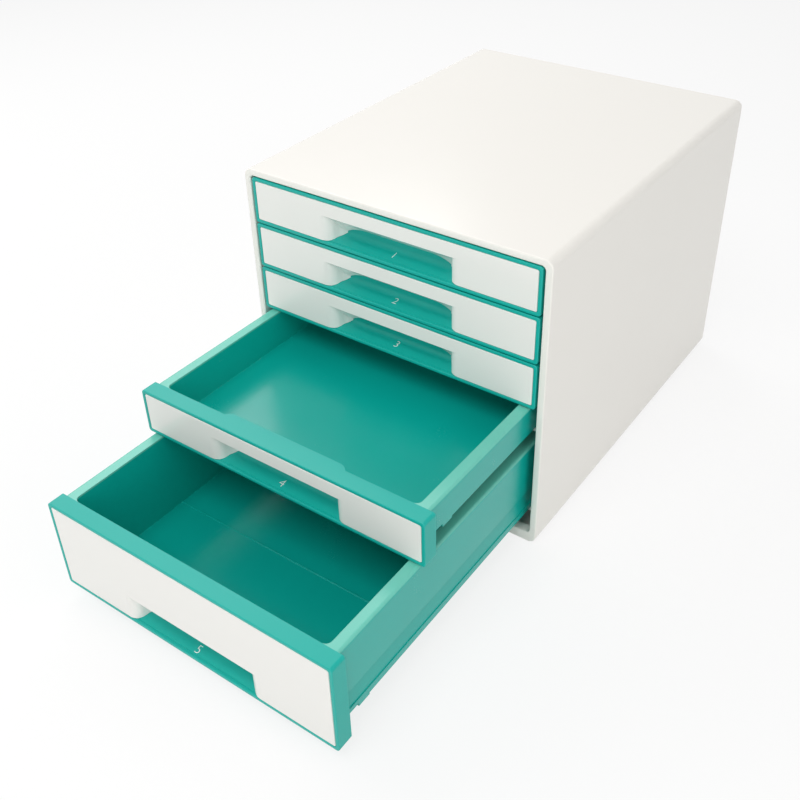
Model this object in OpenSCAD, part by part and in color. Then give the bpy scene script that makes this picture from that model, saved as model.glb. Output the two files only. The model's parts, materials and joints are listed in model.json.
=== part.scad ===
// Desktop drawer cabinet for A4 paper: a white sleeve with four shallow drawers and a deep one.
// X runs to the right, Y from the front to the back, Z up. The origin is the middle of the space
// that the cabinet and its open drawers take, at the level of the feet. Lengths are in millimetres.

/* [Cabinet] */
// Outer width of the shell
case_w = 287; // [260:1:340]
// Outer depth of the shell
case_d = 363; // [345:1:420]
// Wall of the shell behind the front lip
shell_wall = 3; // [2.5:0.1:4]
// Radius of the shell's four long edges
edge_r = 7; // [5:0.5:12]
// Depth of the thickened lip round the front opening
lip_d = 8; // [5:0.5:12]
// Width of the lip at each side
side_lip = 6; // [5.5:0.1:7.5]
// Height of the lip over the top drawer
top_lip = 5.8; // [5:0.1:9]
// Height of the lip under the bottom drawer
base_lip = 9.6; // [7:0.1:14]
// Corner radius of the front opening
opening_r = 3.6; // [2:0.1:6]

/* [Back panel] */
// Thickness of the back panel
back_t = 2.5; // [2:0.1:4]
// How far the back panel lies inside the rear edge
back_inset = 2; // [1:0.5:5]
// Width of the ledge that the back panel seats on
ledge_w = 5; // [3:0.5:8]
// Thickness of that ledge
ledge_t = 3; // [2:0.5:5]
// Height of the raised frames on the back panel
back_frame_t = 0.8; // [0.5:0.1:1.8]
// Width of one bar of those frames
back_frame_w = 5; // [3:0.5:10]
// Margin between the panel's edge and the outer frame
back_frame_margin = 22; // [15:1:40]

/* [Feet] */
// How far the feet lift the shell
foot_h = 2; // [1:0.1:4]
// Diameter of a foot
foot_d = 18; // [12:1:26]
// Depth of the socket that a foot sits in
foot_socket = 1.2; // [0.6:0.1:1.6]
// Distance of a foot's middle from the shell's side
foot_side = 26; // [18:1:50]
// Distance of a foot's middle from the front and the back
foot_end = 28; // [18:1:60]

/* [Drawer fronts] */
// Height of a shallow front
shallow_h = 40.8; // [39:0.1:55]
// Height of the deep front
deep_h = 83.4; // [75:0.1:110]
// Gap above and below each front
front_gap = 1; // [0.6:0.1:2]
// Gap between a front and the lip at each side
side_gap = 1.8; // [1:0.1:2.5]
// Depth of a front
front_d = 13.5; // [13.5:0.1:18]
// Turquoise rim left showing round the white panel
rim_w = 3; // [2.4:0.1:5]
// Radius of a front's long edges
front_r = 2.6; // [1.5:0.1:3.4]
// Wall of the hollow front
front_wall = 2.4; // [2:0.1:3]
// Thickness of the plate behind the white panel
web_t = 2; // [1.5:0.1:2.5]

/* [White panels] */
// Thickness of a white panel
panel_t = 2.4; // [1.8:0.1:3]
// Corner radius of a white panel
panel_r = 1.4; // [0.8:0.1:3]
// Clearance round a white panel in its recess
panel_fit = 0.2; // [0.1:0.05:0.4]

/* [Finger scoops] */
// Half width of the scoop where its flanks start at the front
scoop_half = 65.5; // [50:0.5:80]
// Width over which a flank curves in
flank_w = 19; // [18:0.5:26]
// Height of the scoop's ceiling above a shallow front's lower edge
scoop_h = 25.8; // [20:0.1:30]
// Height of the scoop's ceiling above the deep front's lower edge
deep_scoop_h = 27.8; // [20:0.1:50]
// Depth of the scoop
scoop_d = 16; // [13:0.1:17]
// Slope of the scoop's floor in degrees
scoop_slope = 9; // [0:1:14]
// Radius between the scoop's floor and its back
scoop_r = 5; // [3:0.1:8]
// Wall of the housing round the scoop
scoop_wall = 1.8; // [1.2:0.1:2.4]
// Height of the rim under the scoop
scoop_lip = 3.1; // [2.5:0.1:5]
// How far the scoop's ceiling comes down from the front to the back
ceiling_drop = 12.4; // [4:0.1:14.5]
// Width of the scoop's round shoulders at the back
shoulder_w = 24; // [10:0.5:28]
// Height of the scoop's round shoulders at the back
shoulder_h = 12; // [6:0.5:13]
// Distance between a shoulder's end at the back and the flank's start at the front
shoulder_in = 11; // [8:0.5:14]
// Thickness of the white hood over the scoop
hood_t = 1.6; // [1.2:0.1:2.2]
// Space between the hood's ends and the scoop's back
hood_end = 0.6; // [0.4:0.1:1.5]

/* [Trays] */
// Wall of a tray
tray_wall = 2.2; // [1.6:0.1:2.4]
// Thickness of a tray's floor
floor_t = 2.2; // [1.6:0.1:3]
// Height of the rib across the deep tray's floor
rib_h = 0.8; // [0.4:0.1:1.2]
// Width of that rib
rib_w = 1.4; // [0.8:0.1:3]
// Distance of that rib from the front face
rib_y = 109.5; // [60:0.5:200]
// Height of the floor's underside above the front's lower edge
floor_h = 5.4; // [4:0.1:7]
// Width of the rolled rim along each side of a tray
side_rim = 9.5; // [8:0.1:12]
// Width of the rim along the back of a tray
back_rim = 5; // [4:0.1:10]
// Thickness of the rolled rim
rim_t = 2.4; // [1.8:0.1:3]
// How far a tray's skirt lies in from its front's edge at each side
skirt_inset = 4.7; // [4:0.1:6]
// Height of the outer skirt of the deep tray
deep_skirt = 45.4; // [30:0.1:55]
// How far the deep tray's runner lip stands out from the sloping face above it
deep_step = 0.6; // [0.2:0.1:1.5]
// Radius of the upright corners inside a tray
bin_r = 5; // [3:0.5:12]
// Free space behind a closed tray
rear_clear = 8; // [4:0.5:20]

/* [Runners] */
// Height of a tray's sliding edge above its front's lower edge
runner_h = 15; // [13:0.1:17]
// Height of the runner lip of a tray
runner_lip = 6; // [4:0.1:7]
// Thickness of the runner's web
runner_web = 2.4; // [1.8:0.1:3]
// Thickness of the guide panels at the sides
guide_t = 2.5; // [2:0.1:3]
// Thickness of a rail
rail_t = 3; // [2:0.1:4]
// Thickness of the guard over a tray's stop tab
guard_t = 2.5; // [1.5:0.1:4]
// How far a rail reaches in past the tray's skirt
rail_reach = 4.6; // [3:0.1:5.5]
// Sliding clearance between a tray and its rail
slide_gap = 0.3; // [0.2:0.05:0.5]
// How far a drawer slides out
travel = 280; // [230:1:285]
// Depth of a stop tab and of a stop post
stop_d = 8; // [5:0.5:12]
// How far a stop tab stands out of the skirt
stop_out = 4.2; // [3:0.1:4.6]
// Height of a stop tab
tab_h = 5; // [3:0.1:5.5]
// Space left at the stop when a drawer is fully out
stop_gap = 1; // [0.5:0.1:2]
// Distance of a tray's detent from its front
detent_y = 15; // [10:0.5:20]
// Length of a detent
detent_l = 12; // [6:0.5:14]
// How far a detent stands below the sliding edge
detent_h = 1.6; // [1:0.1:2]
// How far the edge between a front and its detent lies above the sliding edge
detent_step = 1.5; // [0.5:0.1:3]

/* [Drawers pulled out] */
// How far drawer 4 stands open
pull_4 = 147; // [0:1:270]
// How far drawer 5 stands open
pull_5 = 249; // [0:1:270]

/* [Hidden] */

$fn = 48;
eps = 0.01;                 // overrun of a cut
shallow_count = 4;
last = shallow_count + 1;   // number of the deep drawer at the bottom
white = [0.95, 0.94, 0.91];
panel_white = [0.93, 0.94, 0.92];
turquoise = [0.10, 0.62, 0.56];
dark_turquoise = [0.05, 0.50, 0.46];
rubber = [0.20, 0.20, 0.21];

// Heights
pitch = shallow_h + front_gap;
deep_z = foot_h + base_lip + front_gap;
case_h = deep_z + deep_h + front_gap + shallow_count * pitch + top_lip;
shell_h = case_h - foot_h;

// Widths
front_w = case_w - 2 * (side_lip + side_gap);
opening_w = case_w - 2 * side_lip;
opening_z = foot_h + base_lip;
opening_h = case_h - top_lip - opening_z;
panel_w = front_w - 2 * (rim_w + panel_fit);
skirt_x = front_w / 2 - skirt_inset;
bin_x = skirt_x - side_rim;
guide_x = case_w / 2 - shell_wall - guide_t;
rail_x = skirt_x - rail_reach;

// Depths, counted from the front face
back_y = case_d - back_inset - back_t;
guide_end = back_y - ledge_t;
tray_front = front_d - tray_wall;
tray_end = guide_end - rear_clear;
tab_y = tray_end - stop_d;
post_y = tab_y - travel - stop_gap - stop_d;
detent_front = front_d + detent_y;
detent_back = detent_front + detent_l;
middle_y = (case_d - max(pull_4, pull_5)) / 2;

// Middle of the round corner between the scoop's floor and its back
corner_y = scoop_d - scoop_r;
corner_z = scoop_lip + corner_y * tan(scoop_slope) + scoop_r / cos(scoop_slope);

function is_deep(n) = n == last;
function front_z(n) = is_deep(n) ? deep_z : deep_z + deep_h + front_gap + (shallow_count - n) * pitch;
function front_h(n) = is_deep(n) ? deep_h : shallow_h;
function ceiling_h(n) = is_deep(n) ? deep_scoop_h : scoop_h;
function housing_h(n) = is_deep(n) ? ceiling_h(n) + hood_t + panel_fit + scoop_wall : front_h(n);
function skirt_h(n) = is_deep(n) ? deep_skirt : shallow_h - runner_h;
function rail_z(n) = front_z(n) + runner_h - slide_gap;
function guard_z(n) = rail_z(n) + tab_h + 3 * slide_gap;
function pulled(n) = n == 4 ? pull_4 : n == 5 ? pull_5 : 0;

// Plan of a scoop's right flank: two equal arcs make an S from the front face to the full depth.
s_steps = 8;
function s_radius(depth) = (flank_w ^ 2 + depth ^ 2) / (4 * depth);
function s_angle(depth) = 2 * atan(depth / flank_w);
function flank(half, depth) = [
    for (i = [0 : s_steps])
        let (a = s_angle(depth) * i / s_steps)
        [half - s_radius(depth) * sin(a), s_radius(depth) * (1 - cos(a))],
    for (i = [s_steps - 1 : -1 : 0])
        let (a = s_angle(depth) * i / s_steps)
        [half - flank_w + s_radius(depth) * sin(a), depth - s_radius(depth) * (1 - cos(a))],
];

// Extrudes an outline in the XZ plane from y0 to y1
module along_y(y0, y1) {
    translate([0, y1, 0])
        rotate([90, 0, 0])
            linear_extrude(y1 - y0)
                children();
}

// Extrudes an outline in the YZ plane over a width about the middle
module across_x(w) {
    translate([-w / 2, 0, 0])
        rotate([90, 0, 90])
            linear_extrude(w)
                children();
}

// A box given by its lowest and highest corners
module block(low, high) {
    translate(low)
        cube(high - low);
}

// A rectangle with round corners, centred on X and standing on the X axis
module round_rect(w, h, r) {
    translate([-w / 2, r])
        square([w, h - 2 * r]);
    translate([-w / 2 + r, 0])
        square([w - 2 * r, h]);
    for (x = [-w / 2 + r, w / 2 - r])
        for (y = [r, h - r])
            translate([x, y])
                circle(r);
}

// Plan of a finger scoop, from in front of the front face to its full depth
module scoop_plan(half, depth) {
    right = flank(half, depth);
    polygon(concat(
        [[half, -depth]], right,
        [for (i = [len(right) - 1 : -1 : 0]) [-right[i].x, right[i].y]],
        [[-half, -depth]]));
}

// Moves from the front face to the middle of the whole
module placed() {
    translate([0, -middle_y, 0])
        children();
}

// Moves a drawer's piece to its height and to where the drawer stands
module in_drawer(n) {
    placed()
        translate([0, -pulled(n), front_z(n)])
            children();
}

module foot_places() {
    for (x = [-1, 1])
        for (y = [foot_end, case_d - foot_end])
            translate([x * (case_w / 2 - foot_side), y, 0])
                children();
}

// Inside of the shell, grown by a margin that may be negative
module bore_outline(margin) {
    translate([0, foot_h + shell_wall - margin])
        round_rect(case_w - 2 * shell_wall + 2 * margin, shell_h - 2 * shell_wall + 2 * margin,
            edge_r - shell_wall + max(margin, 0));
}

module shell() {
    color(white)
        placed()
            difference() {
                along_y(0, case_d)
                    translate([0, foot_h])
                        round_rect(case_w, shell_h, edge_r);
                along_y(-eps, lip_d + eps)
                    translate([0, opening_z])
                        round_rect(opening_w, opening_h, opening_r);
                along_y(lip_d, guide_end)
                    bore_outline(0);
                along_y(guide_end - eps, back_y + eps)
                    bore_outline(-ledge_w);
                along_y(back_y, case_d + eps)
                    bore_outline(0);
                foot_places()
                    translate([0, 0, foot_h - eps])
                        cylinder(d = foot_d, h = foot_socket + eps);
            }
}

// A raised frame on the outside of the back panel
module back_frame(margin) {
    h = shell_h - 2 * shell_wall;
    translate([0, foot_h + shell_wall])
        difference() {
            translate([0, margin])
                round_rect(case_w - 2 * (shell_wall + margin), h - 2 * margin, edge_r);
            translate([0, margin + back_frame_w])
                round_rect(case_w - 2 * (shell_wall + margin + back_frame_w),
                    h - 2 * (margin + back_frame_w), edge_r / 2);
        }
}

module back_panel() {
    color(white)
        placed() {
            along_y(back_y, back_y + back_t)
                bore_outline(-panel_fit);
            for (i = [0, 1])
                along_y(back_y + back_t - eps, back_y + back_t + back_frame_t)
                    back_frame(back_frame_margin * (1 + 1.6 * i));
        }
}

// Guide panel at the right-hand side. Each drawer has a rail, a guard and a stop post on it, and
// the front end of the rail is lower, so that the tray's detent drops in behind it.
module guide_panel() {
    wall_x = case_w / 2 - shell_wall;
    block([guide_x, lip_d + slide_gap, foot_h + shell_wall + edge_r],
        [wall_x, guide_end - slide_gap, case_h - shell_wall - edge_r]);
    for (n = [1 : last]) {
        block([rail_x, detent_back + slide_gap, rail_z(n) - rail_t],
            [guide_x + eps, guide_end - slide_gap, rail_z(n)]);
        block([rail_x, front_d + slide_gap, rail_z(n) - detent_h - rail_t],
            [guide_x + eps, detent_back + 2 * rail_t, rail_z(n) - detent_h]);
        block([skirt_x + slide_gap, front_d + slide_gap, guard_z(n)],
            [guide_x + eps, guide_end - slide_gap, guard_z(n) + guard_t]);
        block([skirt_x + slide_gap, post_y, rail_z(n) - eps],
            [guide_x + eps, post_y + stop_d, guard_z(n) + eps]);
    }
}

module right_runners() {
    color(white)
        placed()
            guide_panel();
}

module left_runners() {
    color(white)
        placed()
            mirror([1, 0, 0])
                guide_panel();
}

module feet() {
    color(rubber)
        placed()
            foot_places()
                cylinder(d = foot_d, h = foot_h + foot_socket);
}

// Outline under the deep tray's skirt: it starts behind the skirt's lower edge and slopes out
module skirt_foot(edge_z) {
    back_x = skirt_x - tray_wall + eps;
    low_x = skirt_x - deep_step;
    low_z = runner_h + runner_lip - runner_web / 2;
    polygon([
        [back_x - tray_wall, edge_z + tray_wall], [back_x, edge_z + tray_wall],
        [back_x, edge_z], [low_x, low_z], [low_x - tray_wall, low_z],
    ]);
}

// Cross-section of a tray's right-hand side: wall, rolled rim, skirt, runner web and runner lip
module side_section(n) {
    h = front_h(n);
    translate([bin_x, floor_h])
        square([tray_wall, h - floor_h]);
    translate([bin_x, h - rim_t])
        square([side_rim - rim_t, rim_t]);
    translate([skirt_x - rim_t, h - rim_t])
        intersection() {
            circle(rim_t);
            square(rim_t);
        }
    translate([skirt_x - tray_wall, h - skirt_h(n)])
        square([tray_wall, skirt_h(n) - rim_t]);
    if (is_deep(n))
        skirt_foot(h - skirt_h(n));
    translate([bin_x + eps, runner_h + runner_lip - runner_web])
        square([side_rim - eps, runner_web]);
    translate([skirt_x - tray_wall, runner_h])
        square([tray_wall, runner_lip]);
}

// Tray with its front wall against the front and its inside open at the top
module tray(n) {
    h = front_h(n);
    color(dark_turquoise)
        in_drawer(n) {
            difference() {
                block([-bin_x - tray_wall, tray_front, floor_h],
                    [bin_x + tray_wall, tray_end, h]);
                block([-bin_x - tray_wall - eps, tray_front - eps, h - front_wall],
                    [bin_x + tray_wall + eps, front_d, h + eps]);
                translate([0, front_d, floor_h + floor_t])
                    linear_extrude(h)
                        round_rect(2 * bin_x, tray_end - back_rim - front_d, bin_r);
                block([-bin_x - tray_wall - eps, tray_end - back_rim + tray_wall, floor_h - eps],
                    [bin_x + tray_wall + eps, tray_end + eps, h - rim_t]);
                housing(n, panel_fit);
            }
            for (side = [0, 1])
                mirror([side, 0, 0]) {
                    difference() {
                        along_y(front_d, tray_end)
                            side_section(n);
                        block([skirt_x - tray_wall - eps, front_d - eps, runner_h - eps],
                            [skirt_x + eps, detent_front, runner_h + detent_step]);
                    }
                    block([skirt_x - tray_wall, detent_front, runner_h - detent_h],
                        [skirt_x, detent_back, runner_h + eps]);
                    block([skirt_x - eps, tab_y, runner_h + slide_gap],
                        [skirt_x + stop_out, tray_end, runner_h + slide_gap + tab_h]);
                }
            if (is_deep(n))
                block([-bin_x - eps, rib_y - rib_w / 2, floor_h + floor_t - eps],
                    [bin_x + eps, rib_y + rib_w / 2, floor_h + floor_t + rib_h]);
        }
}

// Section of a finger scoop: a floor that rises to a round corner and an upright back
module scoop_section(fit, top) {
    r = scoop_r - fit;
    floor_z = scoop_lip + fit / cos(scoop_slope);
    translate([corner_y, corner_z])
        circle(r);
    polygon([
        [-scoop_d, floor_z], [0, floor_z],
        [corner_y + r * sin(scoop_slope), corner_z - r * cos(scoop_slope)],
        [scoop_d - fit, corner_z], [scoop_d - fit, top], [-scoop_d, top],
    ]);
}

// Housing round a finger scoop, which stands out behind the front
module housing(n, fit) {
    margin = hood_t + panel_fit + scoop_wall + fit;
    linear_extrude(housing_h(n))
        scoop_plan(scoop_half + margin, scoop_d + scoop_wall + fit);
}

// Right-hand half of the hood's outline at the back: a flat ceiling that ends in a round shoulder
function shoulder(half, top, margin) = [
    for (i = [0 : s_steps])
        let (a = 90 * i / s_steps)
        [
            half - (shoulder_w + margin) * (1 - cos(a)),
            top - (shoulder_h + margin) * (1 - sin(a)),
        ],
];

// Space under the hood, grown by a margin: it narrows from the front face to the scoop's back
module under_hood(n, margin) {
    half = scoop_half + margin;
    top = ceiling_h(n) + margin;
    right = shoulder(half - shoulder_in, top - ceiling_drop, margin);
    hull() {
        block([-half, -scoop_d, -margin - eps], [half, 0, top]);
        along_y(scoop_d, scoop_d + eps)
            polygon(concat(
                [[half - shoulder_in, -margin - eps]], right,
                [for (i = [len(right) - 1 : -1 : 0]) [-right[i].x, right[i].y]],
                [[shoulder_in - half, -margin - eps]]));
    }
}

// Turquoise hollow front: rim, plate behind the white panel, and finger scoop
module front(n) {
    h = front_h(n);
    top = ceiling_h(n) + hood_t + panel_fit;
    half = scoop_half + hood_t + panel_fit;
    color(turquoise)
        in_drawer(n)
            difference() {
                union() {
                    along_y(0, front_d)
                        round_rect(front_w, h, front_r);
                    intersection() {
                        housing(n, 0);
                        block([-half - scoop_wall, front_d / 2, front_wall],
                            [half + scoop_wall, scoop_d + scoop_wall, h]);
                    }
                }
                along_y(-eps, panel_t)
                    translate([0, rim_w])
                        round_rect(front_w - 2 * rim_w, h - 2 * rim_w, panel_r + panel_fit);
                difference() {
                    along_y(panel_t + web_t, front_d + eps)
                        translate([0, front_wall])
                            round_rect(front_w - 2 * front_wall, h - 2 * front_wall, front_r / 2);
                    housing(n, 0);
                }
                intersection() {
                    across_x(2 * half)
                        scoop_section(0, top);
                    linear_extrude(top)
                        scoop_plan(half, scoop_d);
                }
            }
}

// White panel: a flat plate whose cut-out turns in to a hood with S-shaped flanks, a ceiling that
// comes down towards the back, and round shoulders between them
module panel(n) {
    h = front_h(n);
    low = rim_w + panel_fit;
    half = scoop_half + hood_t;
    color(panel_white)
        in_drawer(n)
            difference() {
                union() {
                    along_y(0, panel_t)
                        translate([0, low])
                            round_rect(panel_w, h - 2 * low, panel_r);
                    intersection() {
                        linear_extrude(ceiling_h(n) + hood_t)
                            scoop_plan(half, scoop_d);
                        under_hood(n, hood_t);
                        across_x(2 * half)
                            scoop_section(panel_fit, h);
                        block([-half, panel_t / 2, scoop_lip],
                            [half, scoop_d - hood_end, h]);
                    }
                }
                intersection() {
                    translate([0, 0, -eps])
                        linear_extrude(ceiling_h(n) + 2 * eps)
                            scoop_plan(scoop_half, scoop_d);
                    under_hood(n, 0);
                }
            }
}

module tray_1() { tray(1); }
module tray_2() { tray(2); }
module tray_3() { tray(3); }
module tray_4() { tray(4); }
module tray_5() { tray(5); }
module front_1() { front(1); }
module front_2() { front(2); }
module front_3() { front(3); }
module front_4() { front(4); }
module front_5() { front(5); }
module panel_1() { panel(1); }
module panel_2() { panel(2); }
module panel_3() { panel(3); }
module panel_4() { panel(4); }
module panel_5() { panel(5); }

shell();
back_panel();
left_runners();
right_runners();
feet();
tray_1();
tray_2();
tray_3();
tray_4();
tray_5();
front_1();
front_2();
front_3();
front_4();
front_5();
panel_1();
panel_2();
panel_3();
panel_4();
panel_5();
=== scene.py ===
"""Detailed pieces, materials, light and camera for a desktop cabinet with five drawers."""

import json
import math

import bmesh
import bpy
from mathutils import Matrix, Vector

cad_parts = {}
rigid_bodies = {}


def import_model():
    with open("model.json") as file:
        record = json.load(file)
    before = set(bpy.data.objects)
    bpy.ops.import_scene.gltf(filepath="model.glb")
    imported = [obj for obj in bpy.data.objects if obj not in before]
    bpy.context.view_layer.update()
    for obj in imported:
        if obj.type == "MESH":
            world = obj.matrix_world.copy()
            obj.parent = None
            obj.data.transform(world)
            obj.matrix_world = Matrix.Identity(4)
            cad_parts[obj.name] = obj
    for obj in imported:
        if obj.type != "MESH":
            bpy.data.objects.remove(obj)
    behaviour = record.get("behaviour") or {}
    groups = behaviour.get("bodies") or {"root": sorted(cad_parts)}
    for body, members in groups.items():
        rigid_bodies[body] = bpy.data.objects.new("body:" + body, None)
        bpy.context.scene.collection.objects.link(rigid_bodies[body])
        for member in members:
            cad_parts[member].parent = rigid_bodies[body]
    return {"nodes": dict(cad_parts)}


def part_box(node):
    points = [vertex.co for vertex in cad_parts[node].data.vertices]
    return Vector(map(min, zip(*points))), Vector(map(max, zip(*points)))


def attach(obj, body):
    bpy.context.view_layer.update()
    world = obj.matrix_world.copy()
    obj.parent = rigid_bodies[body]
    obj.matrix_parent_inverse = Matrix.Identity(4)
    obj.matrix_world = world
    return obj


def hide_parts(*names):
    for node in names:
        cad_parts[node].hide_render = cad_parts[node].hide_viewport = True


bl_info = {
    "name": "Desktop Drawer Cabinet",
    "version": (1, 0, 0),
    "blender": (4, 5, 0),
    "location": "View3D > Sidebar > Drawers",
    "description": "Rounded, finished pieces for a white cabinet with five turquoise drawers",
    "category": "Object",
}

for leftover in list(bpy.data.objects):
    bpy.data.objects.remove(leftover)
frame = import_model()
bpy.context.view_layer.update()

DRAWERS = (1, 2, 3, 4, 5)
# How far up its scoop each number lies, in metres: the camera sees less of an open drawer's scoop
NUMERAL_PLACES = {1: 0.0097, 2: 0.0097, 3: 0.0097, 4: 0.0078, 5: 0.0064}

# Lamps of the stage: name, place, what it points at, width and height, and watts
LAMPS = (
    ("Key", (0.1, -1.0, 1.75), (0.0, -0.1, 0.1), (1.1, 0.8), 12.0),
    ("Front", (0.5, -1.7, 0.75), (0.0, -0.1, 0.15), (1.4, 0.8), 4.6),
    ("Side", (1.5, -0.5, 0.7), (0.0, 0.0, 0.12), (1.0, 1.0), 4.6),
    ("Sheen", (-1.05, 0.64, 1.36), (0.0, -0.2, 0.1), (1.3, 0.7), 9.4),
    ("Rim", (-1.7, -0.4, 0.55), (0.0, -0.2, 0.1), (0.4, 1.2), 6.0),
)

Y, Z = 1, 2  # numbers of the axes that run from front to back and up
CREASE = math.radians(28)  # faces that meet at more than this get a rounded or a sharp edge
SAME_PLANE = math.radians(0.4)  # faces that meet at less than this are one flat face
SAME_POINT = 2e-6
SMALLEST_EDGE = 4e-6
NO_AREA = 1e-12


# Node graphs


class Socket:
    """An output socket that takes part in plain arithmetic, each step of which is a Math node."""

    def __init__(self, graph, socket):
        self.graph = graph
        self.socket = socket

    def math(self, operation, *others):
        """The result of a Math node with this socket as its first value."""
        values = dict(enumerate((self, *others)))
        return self.graph.add("Math", {"operation": operation}, values)

    def __add__(self, other):
        return self.math("ADD", other)

    def __mul__(self, other):
        return self.math("MULTIPLY", other)

    __radd__ = __add__
    __rmul__ = __mul__


class Graph:
    """The node tree of a material or a world."""

    def __init__(self, owner):
        owner.use_nodes = True
        self.owner = owner
        self.tree = owner.node_tree
        self.tree.nodes.clear()

    def add(self, kind, settings=None, sockets=None, output=0):
        """Any node: its type, then its settings, then the values or links of its sockets."""
        node = self.tree.nodes.new("ShaderNode" + kind)
        for key, value in (settings or {}).items():
            setattr(node, key, value)
        for key, value in (sockets or {}).items():
            if isinstance(value, Socket):
                self.tree.links.new(value.socket, node.inputs[key])
            else:
                node.inputs[key].default_value = value
        return Socket(self, node.outputs[output]) if node.outputs else None

    def noise(self, place, scale, detail):
        """A noise with values round one half."""
        return self.add("TexNoise", sockets={"Vector": place, "Scale": scale, "Detail": detail})

    def blend(self, low, high, amount):
        """A colour between low, which may be a socket, and high."""
        if not isinstance(low, Socket):
            low = (*low, 1)
        values = {"Factor": amount, "A": low, "B": (*high, 1)}
        return self.add("Mix", {"data_type": "RGBA"}, values, output=2)

    def principled(self, sockets):
        """Ends a material with a Principled shader and returns it."""
        shader = self.add("BsdfPrincipled", sockets=sockets)
        self.add("OutputMaterial", sockets={"Surface": shader})
        return self.owner


# Materials


def shade(colour, gain):
    """A colour made lighter or darker."""
    return tuple(min(1.0, channel * gain) for channel in colour)


def moulded_plastic(name, colour, roughness, drift, peel, rim=None):
    """Injection-moulded plastic. Its tone strays by the drift, a share, in slow patches and
    faint flow marks, and peel is the strength of its very fine skin. A rim is two heights,
    between which the plastic takes on a paler colour, a painted sheen, and that colour."""
    graph = Graph(bpy.data.materials.new(name))
    place = graph.add("TexCoord", output="Object")
    slow = graph.noise(place, scale=5.0, detail=1.0)
    stretched = graph.add("Mapping", sockets={"Vector": place, "Scale": (3.0, 14.0, 22.0)})
    flow = graph.noise(stretched, scale=1.0, detail=2.0)
    skin = graph.noise(place, scale=900.0, detail=2.0)
    smudge = graph.noise(place, scale=22.0, detail=4.0)
    tone = 0.6 * slow + 0.25 * flow + 0.15 * skin
    base = graph.blend(shade(colour, 1 - drift), shade(colour, 1 + drift), tone)
    # Between the rim's two heights the colour turns paler: a painted sheen on the top of a tray's
    # rim
    if rim:
        start, end, sheen_colour = rim
        height = graph.add("SeparateXYZ", sockets={"Vector": place}, output=Z)
        fade = {"Value": height, "From Min": start, "From Max": end}
        base = graph.blend(base, sheen_colour, graph.add("MapRange", sockets=fade))
    skin_depth = {"Strength": peel, "Distance": 0.0002, "Height": skin}
    # The two noises add 0.045 on average, so that much is taken off first
    uneven = 0.06 * smudge + 0.03 * skin + (roughness - 0.045)
    return graph.principled(
        {
            "Base Color": base,
            "Roughness": uneven,
            "Normal": graph.add("Bump", sockets=skin_depth),
            "IOR": 1.44,
        }
    )


def pebbled_rubber(name, colour):
    """Dark rubber with a pebbled skin and a little dust in its hollows."""
    graph = Graph(bpy.data.materials.new(name))
    place = graph.add("TexCoord", output="Object")
    pebble = graph.add(
        "TexVoronoi", {"feature": "SMOOTH_F1"}, {"Vector": place, "Scale": 900.0}
    )
    dust = graph.noise(place, scale=120.0, detail=4.0)
    base = graph.blend(shade(colour, 0.8), shade(colour, 1.5), 0.4 * pebble + 0.5 * dust)
    bump = graph.add("Bump", sockets={"Strength": 0.5, "Distance": 0.0004, "Height": pebble})
    return graph.principled(
        {"Base Color": base, "Roughness": 0.2 * dust + 0.6, "Normal": bump}
    )


def print_ink(name, colour):
    """Screen-printed ink with a slightly uneven cover."""
    graph = Graph(bpy.data.materials.new(name))
    place = graph.add("TexCoord", output="Object")
    cover = graph.noise(place, scale=700.0, detail=3.0)
    base = graph.blend(shade(colour, 0.86), colour, cover)
    return graph.principled({"Base Color": base, "Roughness": 0.15 * cover + 0.35})


# Pieces


def own_shape(node):
    """A bmesh of a node's shape with its triangles joined and its flat faces whole."""
    bm = bmesh.new()
    bm.from_mesh(frame["nodes"][node].data)
    bmesh.ops.remove_doubles(bm, verts=bm.verts, dist=SAME_POINT)
    bmesh.ops.dissolve_limit(bm, angle_limit=SAME_PLANE, verts=bm.verts, edges=bm.edges)
    return bm


def runs_on(edge, other, vert):
    """Whether another edge carries on in nearly the same direction past a shared corner."""
    ahead = other.other_vert(vert).co - vert.co
    behind = vert.co - edge.other_vert(vert).co
    return ahead.angle(behind) < CREASE


def set_radii(bm, usual, *special):
    """Gives each edge where two faces meet at an angle the usual radius, or that of the first
    special rule, a test and its radius, that it passes. A run of edges gets its smallest, as a
    change of radius along it would leave a spike. An edge whose radius is 0 stays sharp."""
    bm.normal_update()
    radius = bm.edges.layers.float.new("bevel_weight_edge")
    creases = {e for e in bm.edges if e.is_manifold and e.calc_face_angle() > CREASE}
    for edge in creases:
        edge[radius] = next((r for test, r in special if test(edge)), usual)
    waiting = sorted(creases, key=lambda e: e[radius])
    while waiting:
        edge = waiting.pop(0)
        for vert in edge.verts:
            for other in creases.intersection(vert.link_edges):
                if other[radius] > edge[radius] and runs_on(edge, other, vert):
                    other[radius] = edge[radius]
                    waiting.append(other)
    for edge in bm.edges:
        edge.smooth = edge not in creases or edge[radius] > 0


def on_plane(axis, level, slack=5e-5):
    """A test for an edge that lies in a plane across an axis."""
    return lambda e: all(abs(v.co[axis] - level) < slack for v in e.verts)


def within(axis, low, high):
    """A test for an edge that stays between two planes across an axis."""
    return lambda e: all(low < v.co[axis] < high for v in e.verts)


def both(*tests):
    """A test that is passed where all of some tests are."""
    return lambda e: all(test(e) for test in tests)


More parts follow.
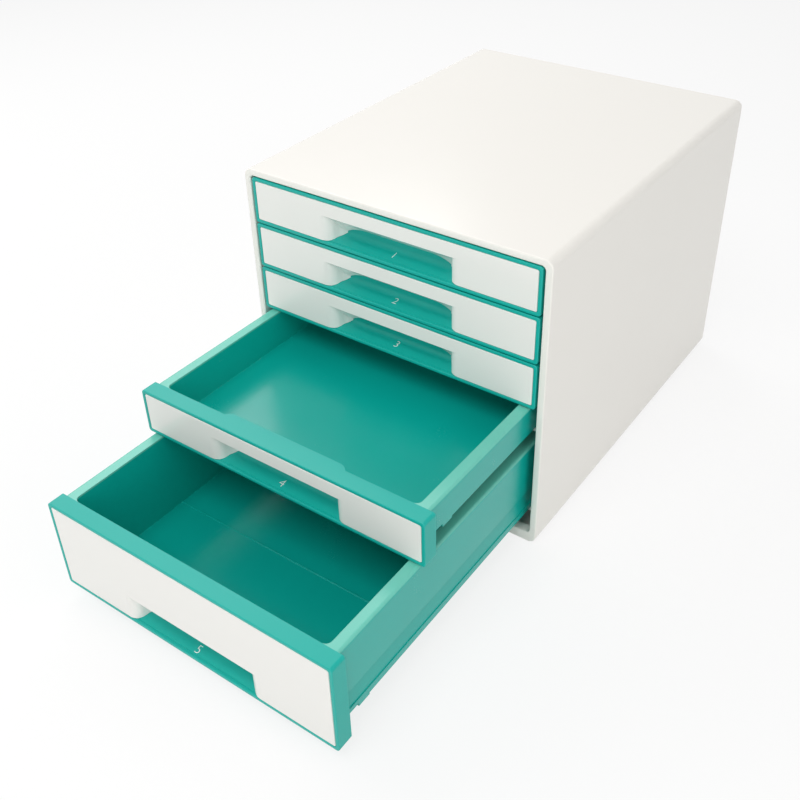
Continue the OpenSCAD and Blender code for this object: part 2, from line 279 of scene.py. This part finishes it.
def finished(bm, name, body, slot, material, *nodes):
    """Makes a piece of a bmesh, rounds its edges by their radii and puts it on its body."""
    for face in bm.faces:
        face.smooth = True
    radius = bm.edges.layers.float.get("bevel_weight_edge")
    if radius:
        largest = max(edge[radius] for edge in bm.edges)
        for edge in bm.edges:
            edge[radius] /= largest
    mesh = bpy.data.meshes.new(name)
    bm.to_mesh(mesh)
    bm.free()
    mesh.materials.append(material)
    piece = bpy.data.objects.new(name, mesh)
    bpy.context.scene.collection.objects.link(piece)
    if radius:
        soften = piece.modifiers.new("Moulded Edges", "BEVEL")
        soften.width = largest
        soften.segments = 3
        soften.limit_method = "WEIGHT"
        soften.use_clamp_overlap = False
        split = piece.modifiers.new("Even Triangles", "TRIANGULATE")
        split.min_vertices = 5
        split.ngon_method = "BEAUTY"
        even = piece.modifiers.new("Even Normals", "WEIGHTED_NORMAL")
        even.keep_sharp = True
    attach(piece, body)
    if nodes:
        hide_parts(*nodes)


# Settings


def length(name, description, default):
    """A size that a user may change, in metres."""
    return bpy.props.FloatProperty(
        name=name,
        description=description,
        default=default,
        min=0.0,
        subtype="DISTANCE",
        unit="LENGTH",
        precision=5,
    )


def colour(name, description, default):
    """A colour that a user may change, in linear values."""
    return bpy.props.FloatVectorProperty(
        name=name,
        description=description,
        default=default,
        size=3,
        min=0.0,
        max=1.0,
        subtype="COLOR",
    )


class CabinetSizes(bpy.types.PropertyGroup):
    """Radii and small sizes that the pieces are finished with."""

    lip_radius: length("Lip Radius", "Radius of the shell's edges round its front", 0.0012)
    back_radius: length("Back Radius", "Radius of the shell's edges round its back", 0.00072)
    soft_radius: length("Soft Radius", "Radius of the other moulded edges", 0.0004)
    fine_radius: length("Fine Radius", "Radius of the back plate's and runners' edges", 0.00024)
    front_radius: length("Front Radius", "Radius of a drawer front's outer edges", 0.0007)
    panel_radius: length("Panel Radius", "Radius of a white panel's edges", 0.0007)
    panel_margin: length("Panel Margin", "Width of a panel's border, past its hood", 0.002)
    # Painted sheen: the height over which a tray's rim turns paler, in place of its glossy
    # highlight
    rim_fade: length("Rim Fade", "Height over which a tray's rim turns paler", 0.001)
    runner_radius: length("Runner Radius", "Radius on the small steps of a tray's runner", 0.0001)
    runner_low: length("Runner Low", "Lower end of a tray's runner above its floor", 0.0075)
    runner_high: length("Runner High", "Upper end of a tray's runner above its floor", 0.0165)
    scoop_depth: length("Scoop Depth", "Depth of a finger scoop", 0.016)
    scoop_corner: length("Scoop Corner", "Radius between a scoop's floor and its back", 0.005)
    scoop_lip: length("Scoop Lip", "Height of the rim under a scoop", 0.0031)
    scoop_slope: bpy.props.FloatProperty(
        name="Scoop Slope",
        description="Slope of a scoop's floor",
        default=math.radians(9),
        subtype="ANGLE",
        unit="ROTATION",
    )
    numeral_height: length("Numeral Height", "Height of the number in a scoop", 0.0072)
    ink_depth: length("Ink Depth", "Thickness of the printed numbers", 0.00008)


class CabinetColours(bpy.types.PropertyGroup):
    """Colours of the plastics, the rubber and the print; the rim colour is a painted sheen."""

    shell: colour("Shell", "White of the shell", (0.885, 0.862, 0.812))
    panel: colour("Panel", "White of the panels", (0.855, 0.846, 0.812))
    turquoise: colour("Turquoise", "Turquoise of the fronts and trays", (0.002, 0.410, 0.350))
    # Painted sheen: this paler turquoise stands in for the glossy highlight on the rims' tops
    rim: colour("Rim", "Paler turquoise of the trays' rims", (0.150, 0.570, 0.465))
    runner: colour("Runner", "White of the runners", (0.80, 0.80, 0.77))
    rubber: colour("Rubber", "Dark rubber of the feet", (0.022, 0.022, 0.024))
    ink: colour("Ink", "White ink of the numbers", (0.85, 0.93, 0.90))


class CabinetStage(bpy.types.PropertyGroup):
    """Where the camera stands and how the cabinet is lit."""

    azimuth: bpy.props.FloatProperty(
        name="Azimuth",
        description="Direction the camera looks from, to the right of the front",
        default=math.radians(34.994),
        subtype="ANGLE",
        unit="ROTATION",
    )
    elevation: bpy.props.FloatProperty(
        name="Elevation",
        description="Angle the camera looks down at",
        default=math.radians(34.301),
        subtype="ANGLE",
        unit="ROTATION",
    )
    roll: bpy.props.FloatProperty(
        name="Roll",
        description="Turn of the camera about its own axis",
        default=math.radians(-0.763),
        subtype="ANGLE",
        unit="ROTATION",
    )
    place: bpy.props.FloatVectorProperty(
        name="Place",
        description="Where the camera stands",
        default=(0.419587, -0.606321, 0.613992),
        subtype="XYZ",
        unit="LENGTH",
        precision=5,
    )
    lens: bpy.props.FloatProperty(
        name="Lens",
        description="Focal length on a 36 mm sensor, in millimetres",
        default=45.877,
        min=10.0,
        unit="CAMERA",
    )
    shift: bpy.props.FloatVectorProperty(
        name="Shift",
        description="Shift of the picture's middle, as a share of its width",
        default=(-0.03125, -0.0625),
        size=2,
        precision=4,
    )
    ambient: bpy.props.FloatProperty(
        name="Ambient",
        description="Strength of the light from all round",
        default=0.44,
        min=0.0,
    )
    floor_glow: bpy.props.FloatProperty(
        name="Floor Glow",
        description="Share of plain white in the floor as the camera sees it",
        default=0.8,
        min=0.0,
        max=1.0,
    )


# Operators


class CAMERA_OT_cabinet(bpy.types.Operator):
    """Put the camera at the viewing angle"""

    bl_idname = "object.cabinet_camera"
    bl_label = "Camera"

    def execute(self, context):
        stage = context.scene.cabinet_stage
        back = Vector(
            (
                math.sin(stage.azimuth) * math.cos(stage.elevation),
                -math.cos(stage.azimuth) * math.cos(stage.elevation),
                math.sin(stage.elevation),
            )
        )
        turned = (-back).to_track_quat("-Z", "Y").to_matrix()
        turned = turned @ Matrix.Rotation(stage.roll, 3, "Z")
        data = bpy.data.cameras.new("Camera")
        data.lens = stage.lens
        data.sensor_width = 36
        data.shift_x, data.shift_y = stage.shift
        data.clip_start = 0.01
        camera = bpy.data.objects.new("Camera", data)
        camera.matrix_world = Matrix.Translation(stage.place) @ turned.to_4x4()
        context.scene.collection.objects.link(camera)
        context.scene.camera = camera
        return {"FINISHED"}


class STAGE_OT_cabinet(bpy.types.Operator):
    """Make the pale floor, the soft lamps and the white surroundings"""

    bl_idname = "object.cabinet_stage"
    bl_label = "Stage"

    def execute(self, context):
        scene = context.scene
        scene.view_settings.view_transform = "Standard"
        self.floor(scene.cabinet_stage.floor_glow)
        self.surroundings(scene)
        for lamp in LAMPS:
            self.lamp(*lamp)
        return {"FINISHED"}

    def seen(self, graph):
        """1 for what the camera sees directly, in gloss or through a clear piece, else 0."""
        rays = [
            graph.add("LightPath", output=name)
            for name in ("Is Camera Ray", "Is Glossy Ray", "Is Transmission Ray")
        ]
        return rays[0].math("MAXIMUM", rays[1]).math("MAXIMUM", rays[2])

    def floor(self, glow_share):
        """A pale floor that takes the cabinet's shadow and fades into the white room."""
        bm = bmesh.new()
        bmesh.ops.create_grid(bm, x_segments=1, y_segments=1, size=6.0)
        mesh = bpy.data.meshes.new("floor")
        bm.to_mesh(mesh)
        bm.free()
        graph = Graph(bpy.data.materials.new("pale_floor"))
        matt = graph.add("BsdfDiffuse", sockets={"Color": (0.92, 0.92, 0.915, 1)})
        glow = graph.add("Emission", sockets={"Color": (1, 1, 1, 1), "Strength": 1.0})
        share = glow_share * self.seen(graph)
        mixed = graph.add("MixShader", sockets={0: share, 1: matt, 2: glow})
        graph.add("OutputMaterial", sockets={"Surface": mixed})
        mesh.materials.append(graph.owner)
        floor = bpy.data.objects.new("floor", mesh)
        bpy.context.scene.collection.objects.link(floor)

    def surroundings(self, scene):
        """A world that looks white and lights the cabinet evenly."""
        scene.world = bpy.data.worlds.new("white_room")
        graph = Graph(scene.world)
        ambient = scene.cabinet_stage.ambient
        strength = ambient + (1.0 - ambient) * self.seen(graph)
        sky = graph.add("Background", sockets={"Color": (1, 1, 1, 1), "Strength": strength})
        graph.add("OutputWorld", sockets={"Surface": sky})

    def lamp(self, name, place, target, size, power):
        """A soft box that points at a target."""
        data = bpy.data.lights.new(name, "AREA")
        data.shape = "RECTANGLE"
        data.size, data.size_y = size
        data.energy = power
        lamp = bpy.data.objects.new(name, data)
        aim = (Vector(target) - Vector(place)).to_track_quat("-Z", "Y").to_matrix()
        lamp.matrix_world = Matrix.Translation(place) @ aim.to_4x4()
        bpy.context.scene.collection.objects.link(lamp)


class SHELL_OT_cabinet(bpy.types.Operator):
    """Make the white shell with softly rounded lips, and its back"""

    bl_idname = "object.cabinet_shell"
    bl_label = "Shell"

    def execute(self, context):
        sizes = context.scene.cabinet_sizes
        white = moulded_plastic(
            "white_shell",
            context.scene.cabinet_colours.shell,
            roughness=0.22,
            drift=0.004,
            peel=0.04,
        )
        low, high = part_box("shell")
        bm = own_shape("shell")
        set_radii(
            bm,
            sizes.soft_radius,
            (on_plane(Y, low.y), sizes.lip_radius),
            (on_plane(Y, high.y), sizes.back_radius),
        )
        finished(bm, "shell_sleeve", "cabinet", "shell_white", white, "shell")

        bm = own_shape("back_panel")
        set_radii(bm, sizes.fine_radius)
        finished(bm, "back_plate", "cabinet", "shell_white", white, "back_panel")
        return {"FINISHED"}


class RUNNERS_OT_cabinet(bpy.types.Operator):
    """Make the guide panels that the trays slide on"""

    bl_idname = "object.cabinet_runners"
    bl_label = "Runners"

    def execute(self, context):
        white = moulded_plastic(
            "runner_white",
            context.scene.cabinet_colours.runner,
            roughness=0.5,
            drift=0.02,
            peel=0.12,
        )
        for side in ("left", "right"):
            node = side + "_runners"
            bm = own_shape(node)
            set_radii(bm, context.scene.cabinet_sizes.fine_radius)
            finished(bm, side + "_guide", "cabinet", "runner_white", white, node)
        return {"FINISHED"}


class FEET_OT_cabinet(bpy.types.Operator):
    """Make the rubber feet"""

    bl_idname = "object.cabinet_feet"
    bl_label = "Feet"

    def execute(self, context):
        rubber = pebbled_rubber("foot_rubber", context.scene.cabinet_colours.rubber)
        bm = own_shape("feet")
        set_radii(bm, context.scene.cabinet_sizes.soft_radius)
        finished(bm, "rubber_feet", "cabinet", "foot_rubber", rubber, "feet")
        return {"FINISHED"}


class TRAYS_OT_cabinet(bpy.types.Operator):
    """Make the turquoise trays"""

    bl_idname = "object.cabinet_trays"
    bl_label = "Trays"

    def execute(self, context):
        sizes = context.scene.cabinet_sizes
        colours = context.scene.cabinet_colours
        for n in DRAWERS:
            node = f"tray_{n}"
            low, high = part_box(node)
            # The top of each rim turns paler: a painted sheen in place of its glossy highlight
            rim = (high.z - 2 * sizes.rim_fade, high.z - sizes.rim_fade, colours.rim)
            plastic = moulded_plastic(
                f"tray_turquoise_{n}",
                colours.turquoise,
                roughness=0.26,
                drift=0.02,
                peel=0.05,
                rim=rim,
            )
            bm = own_shape(node)
            runner = within(Z, low.z + sizes.runner_low, low.z + sizes.runner_high)
            # The rim ends in a thin point behind the front, where round edges would fold over it
            set_radii(
                bm,
                sizes.soft_radius,
                (on_plane(Z, high.z), 0.0),
                (runner, sizes.runner_radius),
            )
            finished(bm, f"tray_{n}_bin", f"drawer_{n}", "tray_turquoise", plastic, node)
        return {"FINISHED"}


class FRONTS_OT_cabinet(bpy.types.Operator):
    """Make the turquoise drawer fronts"""

    bl_idname = "object.cabinet_fronts"
    bl_label = "Fronts"

    def execute(self, context):
        sizes = context.scene.cabinet_sizes
        plastic = moulded_plastic(
            "front_turquoise",
            context.scene.cabinet_colours.turquoise,
            roughness=0.42,
            drift=0.02,
            peel=0.04,
        )
        for n in DRAWERS:
            node = f"front_{n}"
            low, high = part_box(node)
            bm = own_shape(node)
            # The scoop's own edges stay sharp: round ones would overlap at its narrow ends
            set_radii(
                bm,
                0.0,
                (on_plane(Y, low.y), sizes.front_radius),
                (on_plane(Y, high.y), sizes.soft_radius),
            )
            finished(bm, f"front_{n}_frame", f"drawer_{n}", "front_turquoise", plastic, node)
        return {"FINISHED"}


class PANELS_OT_cabinet(bpy.types.Operator):
    """Make the glossy white panels with their hoods"""

    bl_idname = "object.cabinet_panels"
    bl_label = "Panels"

    def execute(self, context):
        sizes = context.scene.cabinet_sizes
        white = moulded_plastic(
            "panel_white",
            context.scene.cabinet_colours.panel,
            roughness=0.14,
            drift=0.004,
            peel=0.02,
        )
        for n in DRAWERS:
            node = f"panel_{n}"
            low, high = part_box(node)
            bm = own_shape(node)
            # The hood's front edge stays sharp, because it meets its flanks at acute corners
            inside = within(Z, low.z + sizes.panel_margin, high.z - sizes.panel_margin)
            set_radii(
                bm,
                0.0,
                (both(on_plane(Y, low.y), inside), 0.0),
                (on_plane(Y, low.y), sizes.panel_radius),
                (on_plane(Z, low.z), sizes.panel_radius),
            )
            finished(bm, f"panel_{n}_plate", f"drawer_{n}", "panel_white", white, node)
        return {"FINISHED"}


class NUMERALS_OT_cabinet(bpy.types.Operator):
    """Print a plain number in each scoop"""

    bl_idname = "object.cabinet_numerals"
    bl_label = "Numerals"

    text_size = 1.4  # size of a text whose numbers are 1 high
    thinner = 0.02  # how much its strokes are thinned on each side, as a share of the height
    cuts = 14  # across the height of a number
    clearance = 0.15  # gap under the ink, as a share of its thickness

    def execute(self, context):
        sizes = context.scene.cabinet_sizes
        ink = print_ink("white_ink", context.scene.cabinet_colours.ink)
        for n in DRAWERS:
            bm = self.flat_numeral(n, sizes)
            self.lay_in_scoop(bm, n, sizes)
            finished(bm, f"numeral_{n}", f"drawer_{n}", "panel_white", ink)
        return {"FINISHED"}

    def flat_numeral(self, n, sizes):
        """A number as a thin slab that lies flat, with cuts across it where it will bend."""
        text = bpy.data.curves.new(f"numeral_{n}", "FONT")
        text.body = str(n)
        text.size = sizes.numeral_height * self.text_size
        text.offset = -sizes.numeral_height * self.thinner
        text.align_x = "CENTER"
        text.align_y = "CENTER"
        text.resolution_u = 5
        holder = bpy.data.objects.new("numeral", text)
        bm = bmesh.new()
        bm.from_mesh(holder.to_mesh())
        holder.to_mesh_clear()
        bpy.data.objects.remove(holder)
        bpy.data.curves.remove(text)
        bmesh.ops.remove_doubles(bm, verts=bm.verts, dist=SAME_POINT)
        empty = [face for face in bm.faces if face.calc_area() < NO_AREA]
        longest = [max(face.edges, key=lambda e: e.calc_length()) for face in empty]
        bmesh.ops.dissolve_edges(bm, edges=list(dict.fromkeys(longest)))
        for i in range(-self.cuts, self.cuts):
            geometry = [*bm.verts, *bm.edges, *bm.faces]
            level = (0, (i + 0.5) * sizes.numeral_height / self.cuts, 0)
            bmesh.ops.bisect_plane(bm, geom=geometry, plane_co=level, plane_no=(0, 1, 0))
        bmesh.ops.remove_doubles(bm, verts=bm.verts, dist=SMALLEST_EDGE)
        bmesh.ops.dissolve_degenerate(bm, edges=bm.edges, dist=SMALLEST_EDGE)
        bmesh.ops.solidify(bm, geom=bm.faces[:], thickness=sizes.ink_depth)
        bmesh.ops.recalc_face_normals(bm, faces=bm.faces)
        return bm

    def lay_in_scoop(self, bm, n, sizes):
        """Bends the slab along the scoop's floor and the corner behind it."""
        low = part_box(f"front_{n}")[0]
        slope, corner = sizes.scoop_slope, sizes.scoop_corner
        bend_y = sizes.scoop_depth - corner
        bend_z = sizes.scoop_lip + bend_y * math.tan(slope) + corner / math.cos(slope)
        flat = (bend_y + corner * math.sin(slope)) / math.cos(slope)
        lift = sizes.ink_depth * self.clearance - min(v.co.z for v in bm.verts)
        for vert in bm.verts:
            way = NUMERAL_PLACES[n] + vert.co.y
            height = vert.co.z + lift
            turn = max(0.0, way - flat) / corner
            along = min(way, flat)
            if turn > 0:
                angle = slope + turn
                y = bend_y + (corner - height) * math.sin(angle)
                z = bend_z - (corner - height) * math.cos(angle)
            else:
                y = along * math.cos(slope) - height * math.sin(slope)
                z = sizes.scoop_lip + along * math.sin(slope) + height * math.cos(slope)
            vert.co = (vert.co.x, low.y + y, low.z + z)


class VIEW3D_PT_cabinet(bpy.types.Panel):
    """The cabinet's tools and settings"""

    bl_label = "Drawer Cabinet"
    bl_idname = "VIEW3D_PT_cabinet"
    bl_space_type = "VIEW_3D"
    bl_region_type = "UI"
    bl_category = "Drawers"

    def draw(self, context):
        for group in ("cabinet_sizes", "cabinet_colours", "cabinet_stage"):
            box = self.layout.box()
            settings = getattr(context.scene, group)
            for key in settings.__annotations__:
                box.prop(settings, key)
        for operator in STEPS:
            self.layout.operator(operator.bl_idname)


GROUPS = {
    "cabinet_sizes": CabinetSizes,
    "cabinet_colours": CabinetColours,
    "cabinet_stage": CabinetStage,
}
STEPS = (
    CAMERA_OT_cabinet,
    STAGE_OT_cabinet,
    SHELL_OT_cabinet,
    RUNNERS_OT_cabinet,
    FEET_OT_cabinet,
    TRAYS_OT_cabinet,
    FRONTS_OT_cabinet,
    PANELS_OT_cabinet,
    NUMERALS_OT_cabinet,
)


def register():
    for cls in (*GROUPS.values(), *STEPS, VIEW3D_PT_cabinet):
        bpy.utils.register_class(cls)
    for name, group in GROUPS.items():
        setattr(bpy.types.Scene, name, bpy.props.PointerProperty(type=group))


def unregister():
    for name in GROUPS:
        delattr(bpy.types.Scene, name)
    for cls in (VIEW3D_PT_cabinet, *reversed(STEPS), *reversed(GROUPS.values())):
        bpy.utils.unregister_class(cls)


def main():
    register()
    for step in STEPS:
        space, name = step.bl_idname.split(".")
        getattr(getattr(bpy.ops, space), name)()


if __name__ == "__main__":
    main()
